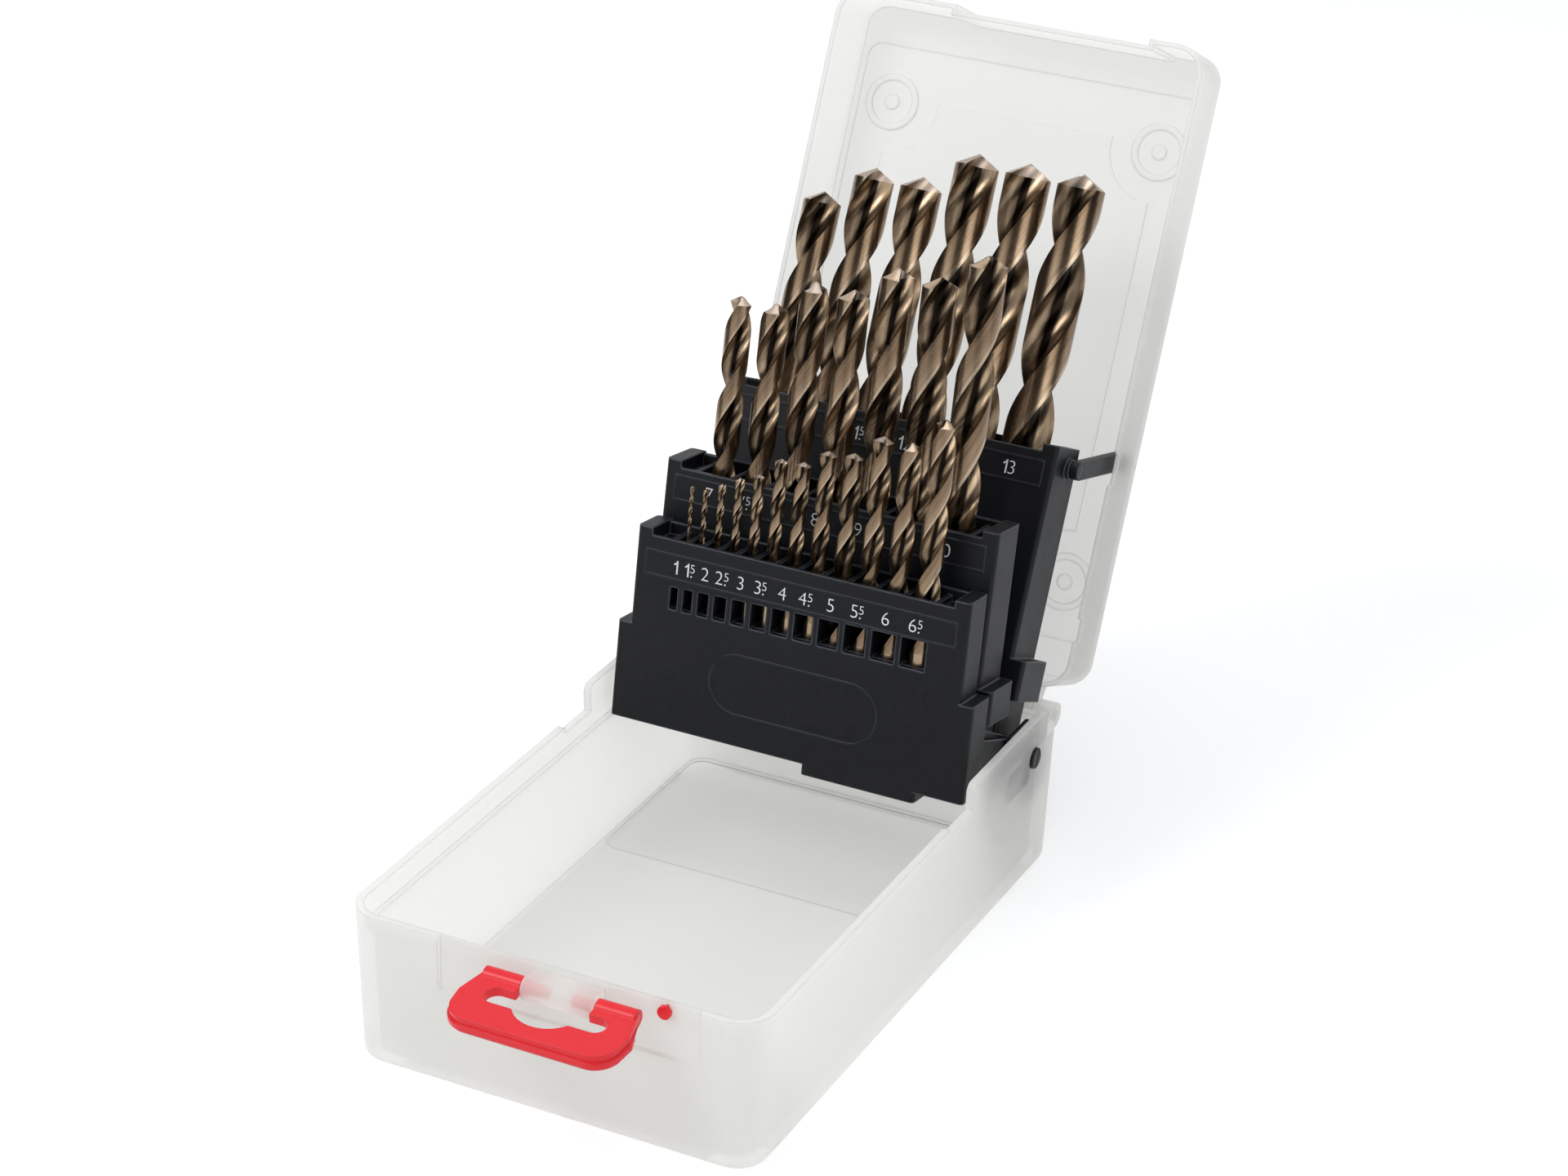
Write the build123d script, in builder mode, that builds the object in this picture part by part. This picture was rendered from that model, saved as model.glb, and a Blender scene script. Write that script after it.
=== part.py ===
from build123d import *
import math
import os

os.makedirs("parts", exist_ok=True)

# Frame: X to the right, Y to the rear, Z up; origin at the centre of the tray's underside.
# The case stands open, with the lid back on its stop and the three racks raised.

# Tray
tray_width = 115.0
tray_length = 183.0
tray_height = 43.0
draft = 1.9
rim_wall = 2.2
lower_wall = 3.7
ledge_drop = 6.0
floor_thickness = 1.9
floor_step = 0.3
tray_corner = 9.0
tray_edge = 2.5
foot_rise = 0.8
foot_size = 15.0
foot_strip = 6.0
ear_ahead = 40.5
ear_behind = 7.5
ear_rise = 6.0
ear_corner = 2.4
dip_length = 14.0
dip_depth = 1.6
rear_drop = 2.8

# Lid
lid_gap = 0.3
lid_seat = 0.2
lid_depth = 21.0
lid_wall = 1.4
lid_corner = 8.0
lid_edge = 3.0
lid_recess_width = 57.0
lid_recess_offset = 9.5
lid_recess_depth = 1.8
opening_angle = 115.0
lid_field_inset = 12.5
lid_field_side = 2.6
lid_field_depth = 0.3
ring_radius = 8.0
ring_width = 1.9
ring_dimple = 2.2
ring_rise = 0.5
ring_from_side = 14.2
ring_from_end = 28.3
panel_rise = 0.35
panel_notch = 14.2
bar_notch_from_hinge = 62.0
bar_notch_length = 10.6
bar_notch_depth = 2.2
bar_notch_slope = 1.2

# Lid hinge
hinge_setback = 4.0
hinge_height = 38.0
tray_barrel = 3.5
lid_barrel = 3.2
hinge_pin_radius = 1.5
tray_knuckle = 6.0
lid_knuckle = 9.0
hinge_from_side = 4.5
run_clearance = 0.05
side_clearance = 0.3

# Rack pivot
pivot_from_rear = 20.5
pivot_height = 37.8
pivot_radius = 1.5
boss_radius = 4.2
head_radius = 2.9
head_thickness = 1.2
head_recess = 0.4
slot_width = 0.8
bracket_thickness = 1.1
bracket_reach = 12.5

# Racks
rack_side_room = 9.0
rack_wall = 1.3
rack_corner = 1.2
rib = 1.3
post_rise = 2.0
ledge_drop_inside = 2.0
rear_wall_rise = 1.5
pocket_depth = 19.0
hole_clearance = 0.7
lug_stand = 3.7
arm_thickness = 1.2
front_label_drop = 10.8
middle_label_drop = 8.9
rear_label_drop = 9.6
front_post_share = 0.41
middle_post_share = 0.49
rear_post_share = 0.82
front_cell_share = 0.484
middle_cell_share = 0.491
rear_cell_share = 0.599
window_low = 19.2
window_high = 13.0
window_growth = 2.1
label_height = 7.0
label_side = 3.0
line_width = 0.35
line_rise = 0.2

# Link bars
bar_height = 5.0
bar_thickness = 2.3
bar_stand = 1.4
bar_pin_radius = 1.5
bar_pivot_up = 77.0
bar_pivot_back = 1.5
bar_end_from_hinge = 71.0
bar_end_height = 49.2

# Latch
latch_offset = 6.0
latch_half = 23.2
latch_reach = 18.7
latch_corner = 6.5
latch_plate = 2.5
latch_lip = 0.9
latch_lip_step = 0.8
latch_lip_width = 2.6
latch_lip_stand = 0.6
latch_lip_start = -5.0
latch_slot_length = 33.0
latch_slot_height = 6.0
latch_slot_back = -7.4
latch_relief = 9.5
latch_relief_back = -4.8
latch_droop = 6.0
latch_setback = 2.6
latch_height = 38.4
tray_knuckle_radius = 3.2
latch_barrel = 2.4
tray_knuckle_half = 9.7
latch_arm = 10.1
latch_arm_end = 20.8
stub_radius = 1.5
stub_length = 6.0
recess_width = 72.0
recess_depth = 1.2
recess_bottom = 28.0
peg_radius = 1.3
peg_offset = 32.3
peg_height = 40.3
peg_head = 1.8
peg_head_thickness = 1.2

# Drill bits: diameter, overall length and flute length
front_sizes = [(1.0, 34, 12), (1.5, 40, 18), (2.0, 49, 24), (2.5, 57, 30), (3.0, 61, 33), (3.5, 70, 39),
               (4.0, 75, 43), (4.5, 80, 47), (5.0, 86, 52), (5.5, 93, 57), (6.0, 93, 57), (6.5, 101, 63)]
middle_sizes = [(7.0, 109, 69), (7.5, 109, 69), (8.0, 117, 75), (8.5, 117, 75), (9.0, 125, 81),
                (9.5, 125, 81), (10.0, 133, 87)]
rear_sizes = [(10.5, 133, 87), (11.0, 142, 94), (11.5, 142, 94), (12.0, 151, 101), (12.5, 151, 101),
              (13.0, 151, 101)]
helix_lead = 5.9
core_ratio = 0.18
flute_ratio = 0.5
point_angle = 118.0
shank_ease = 0.05

# Derived
draft_slope = math.tan(math.radians(draft))
ledge_height = tray_height - ledge_drop
front_y = -tray_length / 2
rear_y = tray_length / 2
pivot_y = rear_y - pivot_from_rear
hinge_y = rear_y + hinge_setback
hinge_end = tray_width / 2 - hinge_from_side
rack_half = tray_width / 2 - rack_side_room
lug_half = rack_half + lug_stand
bar_inner = rack_half + bar_stand
bar_end_y = hinge_y - bar_end_from_hinge
label_half = rack_half - label_side
lid_rim = ledge_height + lid_seat
lid_top = lid_rim + lid_depth
knuckle_y = front_y - latch_setback


def half_across(height, full):
    return full / 2 - (tray_height - height) * draft_slope


lid_width = 2 * (half_across(ledge_height, tray_width) - rim_wall - lid_gap)
lid_length = 2 * (half_across(ledge_height, tray_length) - rim_wall - lid_gap)

lid_frame = Plane(Pos(0, hinge_y, hinge_height) * Rot(-opening_angle, 0, 0) * Pos(0, -hinge_y, -hinge_height))
front_lean = 9.0
middle_lean = 10.8
rear_lean = 25.0
front_frame = Plane(Pos(0, pivot_y, pivot_height) * Rot(-front_lean, 0, 0))
middle_frame = Plane(Pos(0, pivot_y, pivot_height) * Rot(-middle_lean, 0, 0))
rear_frame = Plane(Pos(0, pivot_y, pivot_height) * Rot(-rear_lean, 0, 0))
latch_frame = Plane(Pos(latch_offset, knuckle_y, latch_height) * Rot(latch_droop, 0, 0))


def slab(frame, left, right, near, far, low, high, mode=Mode.ADD, corner=0.0):
    """A block between two X, two Y and two Z values of a frame."""
    with BuildSketch(frame.offset(low)) as outline:
        with Locations(((left + right) / 2, (near + far) / 2)):
            if corner:
                RectangleRounded(right - left, far - near, corner)
            else:
                Rectangle(right - left, far - near)
    extrude(outline.sketch, amount=high - low, mode=mode)


def tapered(frame, width, length, corner, low, high, taper, mode=Mode.ADD):
    """A rounded block whose walls lean by the draft angle."""
    with BuildSketch(frame.offset(low)) as outline:
        RectangleRounded(width, length, corner)
    extrude(outline.sketch, amount=high - low, taper=taper, mode=mode)


def side_plane(frame, across):
    """A plane across X with the frame's Y and Z as its own two directions."""
    here = frame.origin + frame.x_dir * across
    return Plane(origin=here, x_dir=frame.y_dir, z_dir=frame.x_dir)


def rod(frame, back, up, radius, start, end, mode=Mode.ADD):
    """A round rod along X between two X values, at a place in the frame."""
    with BuildSketch(side_plane(frame, start)) as outline:
        with Locations((back, up)):
            Circle(radius)
    extrude(outline.sketch, amount=end - start, mode=mode)


def profile(frame, points, start, end, mode=Mode.ADD):
    """A shape drawn in the frame's Y and Z, with its thickness along X."""
    with BuildSketch(side_plane(frame, start)) as outline:
        with BuildLine():
            Polyline(*points, close=True)
        make_face()
    extrude(outline.sketch, amount=end - start, mode=mode)


# ---- tray ----
world = Plane.XY
hinge_frame = Plane(origin=(0, hinge_y, hinge_height))
pivot_frame = Plane(origin=(0, pivot_y, pivot_height))
knuckle_frame = Plane(origin=(latch_offset, knuckle_y, latch_height))
ear_start = pivot_y - ear_ahead
ear_end = pivot_y + ear_behind
ear_top = tray_height + ear_rise
ear_inner = tray_width / 2 - rim_wall - ledge_drop * draft_slope
bottom_width = 2 * half_across(0, tray_width)
bottom_length = 2 * half_across(0, tray_length)
with BuildPart() as base_tray:
    tapered(world, bottom_width, bottom_length, tray_corner - 1, 0, tray_height, -draft)
    fillet(base_tray.faces().sort_by(Axis.Z)[0].edges(), tray_edge)
    for side in (-1, 1):
        # Raised ear beside the rack pivot, with its wall in line with the drafted side
        with BuildSketch(Plane.XZ.offset(-ear_start)) as ear:
            with BuildLine():
                Polyline((side * half_across(ledge_height, tray_width), ledge_height),
                         (side * half_across(ear_top, tray_width), ear_top),
                         (side * (half_across(ear_top, tray_width) - rim_wall), ear_top),
                         (side * (half_across(ledge_height, tray_width) - rim_wall), ledge_height),
                         close=True)
            make_face()
        extrude(amount=ear_start - ear_end)
    top_corners = base_tray.edges().filter_by(
        lambda e: abs(e.center().Z - ear_top) < 0.01 and abs(e.center().Y - (ear_start + ear_end) / 2) > 20)
    fillet(top_corners, ear_corner)
    # Hollow above the ledge, where the lid nests, and the narrower one below it
    tapered(world, 2 * (half_across(ledge_height, tray_width) - rim_wall),
            2 * (half_across(ledge_height, tray_length) - rim_wall),
            tray_corner - rim_wall, ledge_height, ear_top + 1, -draft, Mode.SUBTRACT)
    tapered(world, 2 * (half_across(floor_thickness, tray_width) - lower_wall),
            2 * (half_across(floor_thickness, tray_length) - lower_wall),
            tray_corner - lower_wall, floor_thickness, ledge_height, -draft, Mode.SUBTRACT)
    well_half = half_across(floor_thickness, tray_width) - lower_wall - 1
    slab(world, -well_half, well_half, ear_start - 1, rear_y - lower_wall - 3,
         floor_thickness - floor_step, floor_thickness + 0.1, Mode.SUBTRACT, 4)
    # The rim dips just ahead of each ear
    slab(world, -tray_width, tray_width, ear_start - dip_length, ear_start,
         tray_height - dip_depth, ear_top, Mode.SUBTRACT)
    # The rear wall is lower, so that the lid turns clear of it
    slab(world, -tray_width, tray_width, ear_end, rear_y + 1, tray_height - rear_drop, ear_top + 1,
         Mode.SUBTRACT)
    # Recess in the front wall behind the latch
    slab(world, latch_offset - recess_width / 2, latch_offset + recess_width / 2,
         front_y - 2, front_y + recess_depth, recess_bottom, tray_height + 1, Mode.SUBTRACT)
    # The underside's edge is relieved between the corners, which stay down as feet
    for side in (-1, 1):
        slab(world, side * tray_width / 2 - foot_strip, side * tray_width / 2 + foot_strip,
             front_y + foot_size, rear_y - foot_size, -1, foot_rise, Mode.SUBTRACT)
        slab(world, -tray_width / 2 + foot_size, tray_width / 2 - foot_size,
             side * tray_length / 2 - foot_strip, side * tray_length / 2 + foot_strip, -1, foot_rise,
             Mode.SUBTRACT)
    # Latch knuckle
    rod(knuckle_frame, 0, 0, tray_knuckle_radius, -tray_knuckle_half, tray_knuckle_half)
    slab(knuckle_frame, -tray_knuckle_half, tray_knuckle_half, 0, latch_setback + recess_depth + 0.4,
         -tray_knuckle_radius, tray_knuckle_radius)
    for side in (-1, 1):
        rod(knuckle_frame, 0, 0, stub_radius + run_clearance, side * tray_knuckle_half,
            side * (tray_knuckle_half - stub_length - side_clearance), Mode.SUBTRACT)
        # Hinge knuckle and its web on the rear wall
        rod(hinge_frame, 0, 0, tray_barrel, side * (hinge_end - tray_knuckle), side * hinge_end)
        profile(hinge_frame, [(-hinge_setback - 1.5, -tray_barrel), (0, -tray_barrel), (0, 0.9),
                              (-hinge_setback - 1.5, 0.9)],
                side * (hinge_end - tray_knuckle), side * hinge_end)
        rod(hinge_frame, 0, 0, hinge_pin_radius, side * (hinge_end - tray_knuckle), side * hinge_end,
            Mode.SUBTRACT)
        # Rack pivot hole with a flat recess for the pin's head
        rod(pivot_frame, 0, 0, pivot_radius, side * (ear_inner - 4), side * tray_width, Mode.SUBTRACT)
        rod(pivot_frame, 0, 0, head_radius + 0.3, side * (tray_width / 2 - head_recess - 0.15),
            side * tray_width, Mode.SUBTRACT)
    # Hole for the small peg in the front rim
    with BuildSketch(Plane.XZ.offset(-front_y - 3)) as peg_hole:
        with Locations((peg_offset, peg_height)):
            Circle(peg_radius)
    extrude(peg_hole.sketch, amount=8, mode=Mode.SUBTRACT)
base_tray.part.label = "base_tray"
export_step(base_tray.part, "parts/base_tray.step")

# ---- small peg in the front rim ----
with BuildPart() as rim_peg:
    with BuildSketch(Plane.XZ.offset(-front_y - 3.3)) as shank:
        with Locations((peg_offset, peg_height)):
            Circle(peg_radius)
    extrude(shank.sketch, amount=3.3 - recess_depth + 0.9)
    # Drop-shaped head standing on the recessed wall
    with BuildSketch(Plane.XZ.offset(-front_y - recess_depth + side_clearance / 2)) as drop:
        with Locations((peg_offset, peg_height)):
            Circle(peg_head)
        with BuildLine():
            Polyline((peg_offset - 0.94 * peg_head, peg_height + 0.33 * peg_head),
                     (peg_offset + 0.4 * peg_head, peg_height + 1.3 * peg_head),
                     (peg_offset + 0.97 * peg_head, peg_height + 0.2 * peg_head), close=True)
        make_face()
    extrude(drop.sketch, amount=peg_head_thickness)
    fillet(rim_peg.faces().sort_by(Axis.Y)[0].edges(), 0.3)
rim_peg.part.label = "rim_peg"
export_step(rim_peg.part, "parts/rim_peg.step")

# ---- lid ----
lid_front = -lid_length / 2
lid_rear = lid_length / 2
lid_inner_top = lid_top - lid_wall
arm_low = tray_height - rear_drop - hinge_height + 0.4
closed_hinge = Plane(lid_frame.location * Pos(0, hinge_y, hinge_height))
closed_pivot = Plane(lid_frame.location * Pos(0, pivot_y, pivot_height))
closed_bar_end = Plane(lid_frame.location * Pos(0, bar_end_y, bar_end_height))
with BuildPart() as lid:
    tapered(lid_frame, lid_width, lid_length, lid_corner, lid_rim, lid_top, draft)
    fillet(lid.faces().sort_by(Axis((0, 0, 0), tuple(lid_frame.z_dir)))[-1].edges(), lid_edge)
    tapered(lid_frame, lid_width - 2 * lid_wall, lid_length - 2 * lid_wall, lid_corner - lid_wall,
            lid_rim, lid_inner_top, draft, Mode.SUBTRACT)
    # Recess in the front wall that the latch stands in
    recess_left = lid_recess_offset - lid_recess_width / 2
    recess_right = lid_recess_offset + lid_recess_width / 2
    slab(lid_frame, recess_left - lid_wall, recess_right + lid_wall, lid_front + 1,
         lid_front + lid_recess_depth + lid_wall, lid_rim, lid_inner_top + 0.5)
    slab(lid_frame, recess_left, recess_right, lid_front - 2, lid_front + lid_recess_depth,
         lid_rim - 1, lid_top + 1, Mode.SUBTRACT)
    for side in (-1, 1):
        knuckle_end = side * (hinge_end - tray_knuckle - side_clearance)
        knuckle_start = side * (hinge_end - tray_knuckle - side_clearance - lid_knuckle)
        rod(closed_hinge, 0, 0, lid_barrel, knuckle_start, knuckle_end)
        profile(closed_hinge, [(lid_rear - hinge_y - 0.9, arm_low), (0, arm_low), (0, lid_barrel),
                               (lid_rear - hinge_y - 0.9, arm_low + 3.2)], knuckle_start, knuckle_end)
        rod(closed_hinge, 0, 0, hinge_pin_radius + run_clearance, knuckle_start, knuckle_end, Mode.SUBTRACT)
        # Notches in the side walls, clear of the pivot pin and beside the link bar
        wall_in = side * (lid_width / 2 - lid_wall - 1)
        wall_out = side * (lid_width / 2 + 1)
        notch_low = lid_rim - pivot_height - 1
        profile(closed_pivot, [(-2.6, notch_low), (4.2, notch_low), (3.4, 2.3), (-2.2, 2.3)],
                wall_in, wall_out, Mode.SUBTRACT)
        bar_notch_y = lid_rear - bar_notch_from_hinge
        profile(lid_frame, [(bar_notch_y - bar_notch_length / 2, lid_rim - 1),
                            (bar_notch_y + bar_notch_length / 2, lid_rim - 1),
                            (bar_notch_y + bar_notch_length / 2 - bar_notch_slope, lid_rim + bar_notch_depth),
                            (bar_notch_y - bar_notch_length / 2 + bar_notch_slope,
                             lid_rim + bar_notch_depth)],
                wall_in, wall_out, Mode.SUBTRACT)
        # Boss inside the side wall where the link bar ends
        rod(closed_bar_end, 0, 0, 2.4, side * (bar_inner + bar_thickness + side_clearance),
            side * (lid_width / 2 - 1.2))
    # A thinner field on the inner face, with a raised ring near each corner and a raised panel
    # whose corners are notched round the rings
    field_half = lid_width / 2 - lid_wall - lid_field_side
    slab(lid_frame, -field_half, field_half, lid_front + lid_field_inset, lid_rear - lid_field_inset,
         lid_inner_top - 1, lid_inner_top + lid_field_depth, Mode.SUBTRACT, 4)
    ring_x = lid_width / 2 - ring_from_side
    ring_y = lid_rear - ring_from_end
    ring_places = [(-ring_x, -ring_y), (ring_x, -ring_y), (-ring_x, ring_y), (ring_x, ring_y)]
    with BuildSketch(lid_frame.offset(lid_inner_top + lid_field_depth + 0.2)) as ring:
        with Locations(*ring_places):
            Circle(ring_radius)
            Circle(ring_radius - ring_width, mode=Mode.SUBTRACT)
            Circle(ring_dimple)
    extrude(ring.sketch, amount=-ring_rise - 0.2)
    with BuildSketch(lid_frame.offset(lid_inner_top + lid_field_depth + 0.2)) as panel:
        Rectangle(2 * ring_x, 2 * ring_y + 3.8)
        with Locations(*ring_places):
            Circle(panel_notch, mode=Mode.SUBTRACT)
    extrude(panel.sketch, amount=-panel_rise - 0.2)
lid.part.label = "lid"
export_step(lid.part, "parts/lid.step")

# ---- hinge pins, rack brackets and pivot pins, one of each per side ----
pad_face = half_across(ledge_height, tray_width) - lower_wall
bracket_outer = pad_face - 0.7
bracket_inner = bracket_outer - bracket_thickness
head_seat = tray_width / 2 - head_recess - 0.15
pad_top = pivot_height - pivot_radius - 0.4
for name, side in (("left", -1), ("right", 1)):
    with BuildPart() as hinge_pin:
        rod(hinge_frame, 0, 0, hinge_pin_radius, side * (hinge_end - tray_knuckle - lid_knuckle - 0.2),
            side * hinge_end)
    hinge_pin.part.label = f"hinge_pin_{name}"
    export_step(hinge_pin.part, f"parts/hinge_pin_{name}.step")

    with BuildPart() as pivot_bracket:
        profile(pivot_frame, [(-6, -bracket_reach), (6, -bracket_reach), (9, -6), (9, 3), (6, 7.6),
                              (-6, 7.6), (-9, 3), (-9, -6)], side * bracket_inner, side * bracket_outer)
        with BuildSketch(Plane.XZ.offset(-(pivot_y + 7))) as pad:
            with BuildLine():
                Polyline((side * bracket_outer, pivot_height - bracket_reach + 1),
                         (side * (pad_face - (ledge_height - pivot_height + bracket_reach - 1) * draft_slope),
                          pivot_height - bracket_reach + 1),
                         (side * (pad_face - (ledge_height - pad_top) * draft_slope), pad_top),
                         (side * bracket_outer, pad_top), close=True)
            make_face()
        extrude(pad.sketch, amount=14)
        rod(pivot_frame, 0, 0, pivot_radius, side * (bracket_inner - 1), side * (bracket_outer + 2),
            Mode.SUBTRACT)
    pivot_bracket.part.label = f"pivot_bracket_{name}"
    export_step(pivot_bracket.part, f"parts/pivot_bracket_{name}.step")

    with BuildPart() as pivot_pin:
        rod(pivot_frame, 0, 0, pivot_radius, side * (rack_half - 2.7), side * head_seat)
        rod(pivot_frame, 0, 0, head_radius, side * head_seat, side * (head_seat + head_thickness))
        fillet(pivot_pin.faces().sort_by(Axis.X)[-1 if side > 0 else 0].edges(), 0.35)
        with BuildSketch(Plane.YZ.offset(side * (head_seat + head_thickness / 2))) as slot:
            with Locations((pivot_y, pivot_height)):
                Rectangle(slot_width, 2 * head_radius + 1, rotation=-28)
        extrude(slot.sketch, amount=side * head_thickness, mode=Mode.SUBTRACT)
    pivot_pin.part.label = f"pivot_pin_{name}"
    export_step(pivot_pin.part, f"parts/pivot_pin_{name}.step")


def cell_places(sizes, cell_share):
    """The centre and width of each cell, in a row centred on the rack, which shares the rack's spare width."""
    bare = [0.9 * size[0] for size in sizes]
    spare = 2 * rack_half - sum(bare) - rib * (len(sizes) - 1)
    widths = [width + cell_share * spare / len(sizes) for width in bare]
    left = -(sum(widths) + rib * (len(widths) - 1)) / 2
    places = []
    for width in widths:
        places.append((left + width / 2, width))
        left += width + rib
    return places


def rack_body(frame, near, thick, bottom, lip, sizes, floors, places, post_share):
    """A rack's block with raised walls and posts, its cells and bit holes."""
    far = near + thick
    middle = near + thick / 2
    ledge = lip - ledge_drop_inside
    first = places[0][0] - places[0][1] / 2
    last = places[-1][0] + places[-1][1] / 2
    post = post_share * (rack_half - last)
    slab(frame, -rack_half, rack_half, near, far, bottom, lip + post_rise, corner=rack_corner)
    slab(frame, -rack_half + post, rack_half - post, near - 1, far + 1, ledge, lip + post_rise + 1,
         Mode.SUBTRACT)
    slab(frame, -rack_half + post / 2, rack_half - post / 2, near, near + rack_wall, ledge - 1, lip)
    slab(frame, -rack_half + post / 2, rack_half - post / 2, far - rack_wall, far, ledge - 1,
         lip + rear_wall_rise)
    slab(frame, first - rib, last + rib, near, far - rack_wall / 2, ledge - 1, lip - 0.3)
    for place, size, floor in zip(places, sizes, floors):
        across, width = place
        pocket_floor = max(floor, lip - pocket_depth)
        slab(frame, across - width / 2, across + width / 2, near + rack_wall, far - rack_wall,
             pocket_floor, lip + 3, Mode.SUBTRACT)
        if pocket_floor > floor:
            with BuildSketch(frame.offset(floor)) as hole:
                with Locations((across, middle)):
                    Circle(min(size[0] + hole_clearance, width) / 2)
            extrude(hole.sketch, amount=pocket_floor - floor + 0.5, mode=Mode.SUBTRACT)


def label_frame(frame, near, low):
    """A thin raised rectangle round the row of size numbers."""
    with BuildSketch(front_plane(frame, near)) as outline:
        with Locations((0, low + label_height / 2)):
            Rectangle(2 * label_half, label_height)
            Rectangle(2 * (label_half - line_width), label_height - 2 * line_width, mode=Mode.SUBTRACT)
    extrude(outline.sketch, amount=line_rise)


def front_plane(frame, near):
    """The rack's front face, with X to the right and the rack's height up."""
    return Plane(origin=frame.origin + frame.y_dir * near, x_dir=frame.x_dir, z_dir=-frame.y_dir)


# ---- front rack ----
front_near = -35.3
front_thick = 11.3
front_bottom = -4.1
front_lip = 48.5
front_tab = -7.1
front_lug_top = 22.9
front_stadium_length = 49.5
front_stadium_height = 17.0
front_stadium_up = 13.0
front_stadium_across = 1.0
front_arm_rise = 11.0
front_depths = [20, 26, 32.5, 37.7, 39.5, 43, 47.5, 48, 53, 53.8, 53.8, 53.8]
front_places = cell_places(front_sizes, front_cell_share)
front_floors = [front_lip - depth for depth in front_depths]
arm_start = rack_half + 0.3
front_arm_start = arm_start + arm_thickness + 0.3
with BuildPart() as front_rack:
    slab(front_frame, front_places[8][0] - 4, front_places[-1][0] + 4.6, front_near, front_near + front_thick,
         front_tab, front_bottom + 1, corner=rack_corner)
    slab(front_frame, -lug_half, lug_half, front_near, front_near + front_thick, front_bottom, front_lug_top,
         corner=rack_corner)
    rack_body(front_frame, front_near, front_thick, front_bottom, front_lip, front_sizes, front_floors,
              front_places, front_post_share)
    # A window to each cell, taller towards the large bits
    for order, (across, width) in enumerate(front_places):
        slab(front_frame, across - width / 2 + 0.15, across + width / 2 - 0.15, front_near - 1,
             front_near + rack_wall + 0.5, front_lip - window_low,
             front_lip - window_high + window_growth * order / len(front_places), Mode.SUBTRACT)
    label_frame(front_frame, front_near, front_lip - front_label_drop)
    with BuildSketch(front_plane(front_frame, front_near)) as stadium:
        with Locations((front_stadium_across, front_stadium_up)):
            SlotOverall(front_stadium_length, front_stadium_height)
            SlotOverall(front_stadium_length - 2 * line_width, front_stadium_height - 2 * line_width,
                        mode=Mode.SUBTRACT)
    extrude(stadium.sketch, amount=line_rise)
    for side in (-1, 1):
        profile(front_frame, [(front_near + front_thick - 2, front_bottom), (0, -boss_radius), (0, boss_radius),
                              (front_near + front_thick - 2, front_arm_rise)],
                side * front_arm_start, side * (front_arm_start + arm_thickness))
        rod(front_frame, 0, 0, boss_radius, side * front_arm_start, side * (front_arm_start + arm_thickness))
        rod(front_frame, 0, 0, pivot_radius + run_clearance, side * (front_arm_start - 1),
            side * (front_arm_start + arm_thickness + 1), Mode.SUBTRACT)
front_rack.part.label = "front_rack"
export_step(front_rack.part, "parts/front_rack.step")

# ---- middle rack ----
middle_near = -23.7
middle_thick = 14.4
middle_bottom = -0.2
middle_lip = 63.3
middle_lug_bottom = 13.4
middle_lug_top = 22.9
middle_places = cell_places(middle_sizes, middle_cell_share)
middle_floors = [2.2 for size in middle_sizes]
with BuildPart() as middle_rack:
    slab(middle_frame, -lug_half, lug_half, middle_near, middle_near + middle_thick, middle_lug_bottom,
         middle_lug_top, corner=rack_corner)
    rack_body(middle_frame, middle_near, middle_thick, middle_bottom, middle_lip, middle_sizes, middle_floors,
              middle_places, middle_post_share)
    label_frame(middle_frame, middle_near, middle_lip - middle_label_drop)
    for side in (-1, 1):
        middle_far = middle_near + middle_thick
        profile(middle_frame, [(middle_near + 4, 0.5), (0, -boss_radius), (0, boss_radius),
                               (middle_near + 4, 11)], side * arm_start, side * (arm_start + arm_thickness))
        profile(middle_frame, [(middle_near + 4, 0.8), (middle_far - 1, 0.8), (middle_far - 1, 6),
                               (middle_near + 4, 10)], side * (rack_half - 1), side * (arm_start + 0.5))
        rod(middle_frame, 0, 0, boss_radius, side * arm_start, side * (arm_start + arm_thickness))
        rod(middle_frame, 0, 0, pivot_radius + run_clearance, side * (arm_start - 1),
            side * (arm_start + arm_thickness + 1), Mode.SUBTRACT)
middle_rack.part.label = "middle_rack"
export_step(middle_rack.part, "parts/middle_rack.step")

# ---- rear rack ----
rear_near = -8.9
rear_thick = 17.7
rear_bottom = 1.5
rear_lip = 80.5
rear_lug_bottom = 14.0
rear_lug_top = 25.0
rear_places = cell_places(rear_sizes, rear_cell_share)
rear_floors = [3.6 for size in rear_sizes]
with BuildPart() as rear_rack:
    slab(rear_frame, -lug_half, lug_half, rear_near, rear_near + rear_thick, rear_lug_bottom, rear_lug_top,
         corner=rack_corner)
    rack_body(rear_frame, rear_near, rear_thick, rear_bottom, rear_lip, rear_sizes, rear_floors, rear_places,
              rear_post_share)
    label_frame(rear_frame, rear_near, rear_lip - rear_label_drop)
    for side in (-1, 1):
        rod(rear_frame, 0, 0, boss_radius, side * (rack_half - 3), side * rack_half)
        rod(rear_frame, 0, 0, pivot_radius + run_clearance, side * (rack_half - 2.9), side * (rack_half + 1),
            Mode.SUBTRACT)
        # Boss and stub that carry the link bar
        rod(rear_frame, bar_pivot_back, bar_pivot_up, 2.8, side * (rack_half - 1), side * (bar_inner - 0.1))
        rod(rear_frame, bar_pivot_back, bar_pivot_up, bar_pin_radius, side * (rack_half - 1),
            side * (bar_inner + bar_thickness))
rear_rack.part.label = "rear_rack"
export_step(rear_rack.part, "parts/rear_rack.step")

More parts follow.
